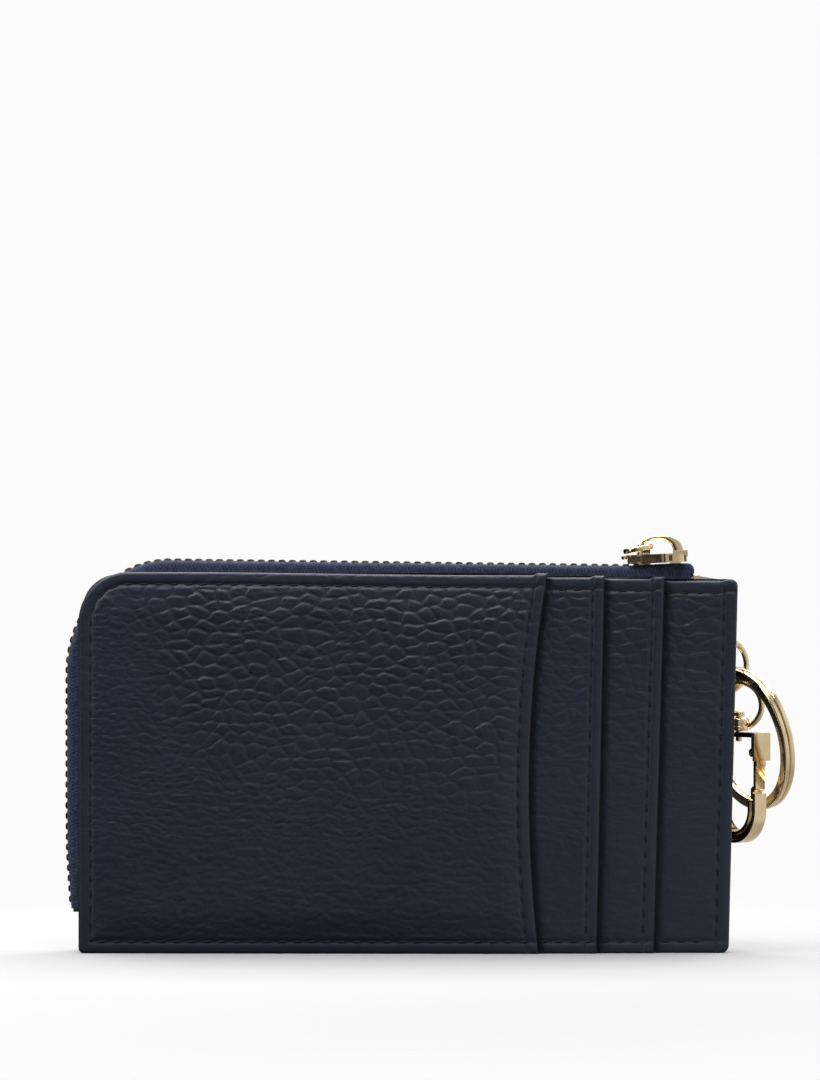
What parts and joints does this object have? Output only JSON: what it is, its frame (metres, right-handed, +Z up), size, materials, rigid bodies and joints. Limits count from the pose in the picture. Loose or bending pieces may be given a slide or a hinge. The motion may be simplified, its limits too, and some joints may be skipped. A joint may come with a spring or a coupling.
{
  "type": "card holder",
  "caption": "Slim leather card holder with stepped card slots, an L-shaped zip, and a D-ring with a key ring and swivel hook.",
  "frame": {"origin": "on the bottom face, midway along the body, 0.8 mm behind the gusset's slot-side edge", "axes": "+Z up, +X along the width towards the key hardware, -Y out of the face with the card slots"},
  "size_m": [0.1445, 0.0307, 0.0834],
  "materials": {
    "leather": "navy pebble-grain leather with a soft sheen",
    "lining": "dark twill lining",
    "zip_tape": "woven navy zip tape",
    "zip_teeth": "antique bronze teeth",
    "gold_metal": "polished light gold plating",
    "steel": "plain steel"
  },
  "bodies": {
    "wallet": {"front_pocket_panel": "leather", "middle_slot_panel": "leather", "right_slot_panel": "leather", "front_base_panel": "leather", "front_lining": "lining", "back_lining": "lining", "back_panel": "leather", "bottom_gusset": "leather", "zip_tape_front": "zip_tape", "zip_tape_back": "zip_tape", "zip_teeth_front": "zip_teeth", "zip_teeth_back": "zip_teeth", "zip_top_stop": "gold_metal", "zip_bottom_stop": "zip_teeth", "key_tab": "leather"},
    "slider": {"slider_body": "gold_metal", "slider_crown": "gold_metal"},
    "puller_link_body": {"puller_link": "gold_metal"},
    "puller": {"puller_tab": "gold_metal"},
    "d_ring_body": {"d_ring": "gold_metal"},
    "key_ring_body": {"key_ring": "gold_metal"},
    "eye": {"swivel_eye": "gold_metal"},
    "hook": {"swivel_pin": "gold_metal", "hook_body": "gold_metal", "gate_pin": "steel", "gate_spring": "steel"},
    "gate": {"hook_gate": "gold_metal"}
  },
  "joints": [
    {"name": "slider_travel", "type": "slide", "parent": "wallet", "child": "slider", "axis": [-0.9999, 0, 0.0125], "range_m": [0, 0.09]},
    {"name": "puller_link_swing", "type": "hinge", "parent": "slider", "child": "puller_link_body", "pos_m": [0.0469, -0.0005, 0.0807], "axis": [1, 0, 0], "range_deg": [0, 15]},
    {"name": "puller_tab_swing", "type": "hinge", "parent": "puller_link_body", "child": "puller", "pos_m": [0.0469, 0.0077, 0.0807], "axis": [1, 0, 0], "range_deg": [-3, 150]},
    {"name": "d_ring_swing", "type": "hinge", "parent": "wallet", "child": "d_ring_body", "pos_m": [0.0613, 0.0066, 0.0571], "axis": [0, 0, 1], "range_deg": [-8, 50]},
    {"name": "key_ring_swing", "type": "hinge", "parent": "d_ring_body", "child": "key_ring_body", "pos_m": [0.06585, 0.01015, 0.0535], "axis": [0.788, 0.6157, 0], "range_deg": [-18, 1]},
    {"name": "eye_swing", "type": "hinge", "parent": "d_ring_body", "child": "eye", "pos_m": [0.06535, 0.00958, 0.0531], "axis": [0.788, 0.6157, 0], "range_deg": [-1, 16]},
    {"name": "hook_swivel", "type": "hinge", "parent": "eye", "child": "hook", "pos_m": [0.0664, 0.0093, 0.045], "axis": [0, 0, 1], "range_deg": [-30, 4]},
    {"name": "gate_open", "type": "hinge", "parent": "hook", "child": "gate", "pos_m": [0.06954, 0.00528, 0.0398], "axis": [0.788, 0.6157, 0], "range_deg": [0, 35], "stiffness_Nm_per_rad": 0.002, "springref_deg": -28.65}
  ]
}
